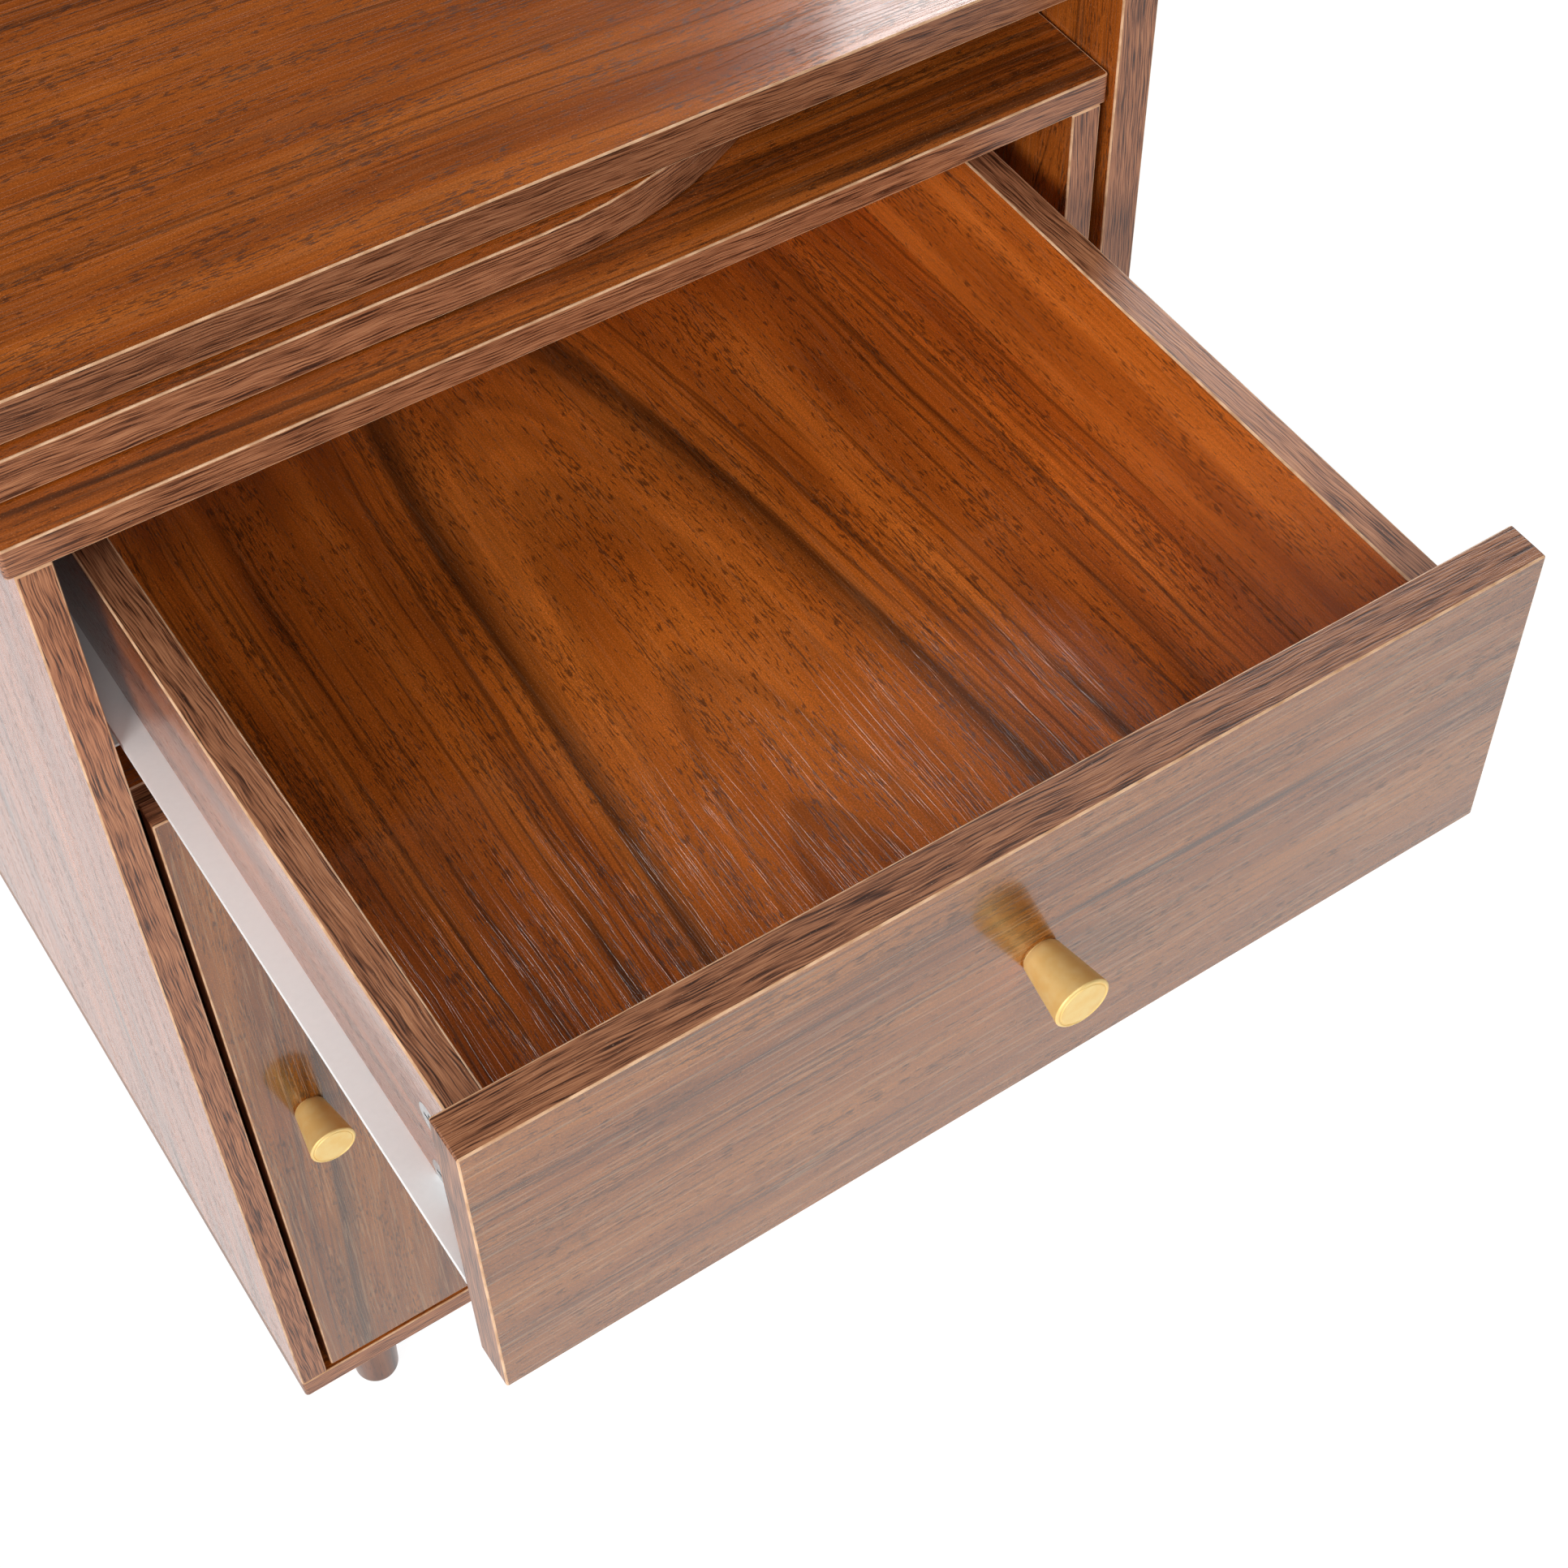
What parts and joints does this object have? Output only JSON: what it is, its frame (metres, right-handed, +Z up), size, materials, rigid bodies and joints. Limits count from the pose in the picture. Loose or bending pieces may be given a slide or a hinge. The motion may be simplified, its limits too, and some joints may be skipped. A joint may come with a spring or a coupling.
{
  "type": "desk",
  "caption": "Walnut desk with a fixed upper top, a round-ended lower top that swings out on a pivot, and a short-legged pedestal with an open drawer and a door.",
  "frame": {"origin": "on the floor, at the middle of the space that the desk takes with its drawer pulled out as pictured", "axes": "+X along the desk's width, to the right as seen from the front; +Y from the front to the back; +Z up"},
  "size_m": [1.2, 0.746, 0.775],
  "materials": {
    "walnut_top": "satin walnut-grain laminate with a fine pore texture, grain along the width",
    "walnut_case": "satin walnut-grain laminate with darker banded edges",
    "walnut_front": "semi-gloss walnut-grain laminate, grain along the width on the drawer and upright on the door",
    "walnut_drawer": "satin walnut-grain laminate, grain along the depth",
    "walnut_leg": "satin lacquered turned wood",
    "hardboard": "plain thin board",
    "brass_knob": "brushed gold-coloured metal",
    "brass_fitting": "plain brass",
    "white_steel": "smooth white coating",
    "nylon": "cream moulded plastic",
    "beech": "plain wood",
    "dark_plastic": "brown moulded plastic",
    "zinc": "zinc-plated"
  },
  "bodies": {
    "frame": {"upper_top": "walnut_top", "right_slab": "walnut_case", "left_slab": "walnut_case", "modesty_panel": "walnut_case", "rear_rail": "walnut_case", "pedestal_top": "walnut_top", "pedestal_left": "walnut_case", "pedestal_right": "walnut_case", "pedestal_base": "walnut_case", "divider": "walnut_case", "pedestal_back": "hardboard", "shelf": "walnut_case", "shelf_pins": "zinc", "leg_front_left": "walnut_leg", "leg_front_right": "walnut_leg", "leg_rear_left": "walnut_leg", "leg_rear_right": "walnut_leg", "leg_bolts": "zinc", "slab_glides": "nylon", "frame_cams": "zinc", "frame_cam_bolts": "zinc", "frame_dowels": "beech", "lower_glide_ring": "nylon", "upper_glide_ring": "nylon", "pivot_bolt": "zinc", "pivot_insert": "brass_fitting", "left_cabinet_runner": "white_steel", "right_cabinet_runner": "white_steel", "front_axles": "zinc", "hinge_frame_leaves": "brass_fitting", "hinge_pins": "brass_fitting", "catch_body": "dark_plastic"},
    "drawer": {"drawer_front": "walnut_front", "drawer_left_side": "walnut_drawer", "drawer_right_side": "walnut_drawer", "drawer_back": "walnut_drawer", "drawer_bottom": "walnut_drawer", "drawer_cams": "zinc", "drawer_cam_bolts": "zinc", "left_drawer_runner": "white_steel", "right_drawer_runner": "white_steel", "rear_axles": "zinc", "drawer_knob": "brass_knob", "drawer_knob_screw": "zinc"},
    "door": {"door_panel": "walnut_front", "door_knob": "brass_knob", "door_knob_screw": "zinc", "hinge_door_leaves": "brass_fitting", "door_strike": "zinc"},
    "swing": {"swing_top": "walnut_top", "pivot_bush": "nylon", "swing_leg_front": "walnut_leg", "swing_leg_rear": "walnut_leg", "swing_leg_bolts": "zinc", "swing_glides": "nylon"},
    "left_front_roller": {"left_front_roller": "nylon"},
    "right_front_roller": {"right_front_roller": "nylon"},
    "left_rear_roller": {"left_rear_roller": "nylon"},
    "right_rear_roller": {"right_rear_roller": "nylon"}
  },
  "joints": [
    {"name": "drawer_slide", "type": "slide", "parent": "frame", "child": "drawer", "axis": [0, -1, 0], "range_m": [-0.282, 0.018]},
    {"name": "door_hinge", "type": "hinge", "parent": "frame", "child": "door", "pos_m": [0.56225, -0.07, 0.3325], "axis": [0, 0, 1], "range_deg": [0, 110]},
    {"name": "top_swing", "type": "hinge", "parent": "frame", "child": "swing", "pos_m": [0.337, 0.153, 0.747], "axis": [0, 0, 1], "range_deg": [0, 90]},
    {"name": "left_front_roll", "type": "hinge", "parent": "frame", "child": "left_front_roller", "pos_m": [0.1364, -0.035, 0.6088], "axis": [1, 0, 0], "range_deg": [-2250, 150]},
    {"name": "right_front_roll", "type": "hinge", "parent": "frame", "child": "right_front_roller", "pos_m": [0.5566, -0.035, 0.6088], "axis": [1, 0, 0], "range_deg": [-2250, 150]},
    {"name": "left_rear_roll", "type": "hinge", "parent": "drawer", "child": "left_rear_roller", "pos_m": [0.1366, 0.049, 0.6035], "axis": [1, 0, 0], "range_deg": [-2250, 150]},
    {"name": "right_rear_roll", "type": "hinge", "parent": "drawer", "child": "right_rear_roller", "pos_m": [0.5564, 0.049, 0.6035], "axis": [1, 0, 0], "range_deg": [-2250, 150]}
  ],
  "couplings": [
    {"joint": "left_front_roll", "follows": "drawer_slide", "rad_per_m": 138.89},
    {"joint": "right_front_roll", "follows": "drawer_slide", "rad_per_m": 138.89},
    {"joint": "left_rear_roll", "follows": "drawer_slide", "rad_per_m": 138.89},
    {"joint": "right_rear_roll", "follows": "drawer_slide", "rad_per_m": 138.89}
  ]
}
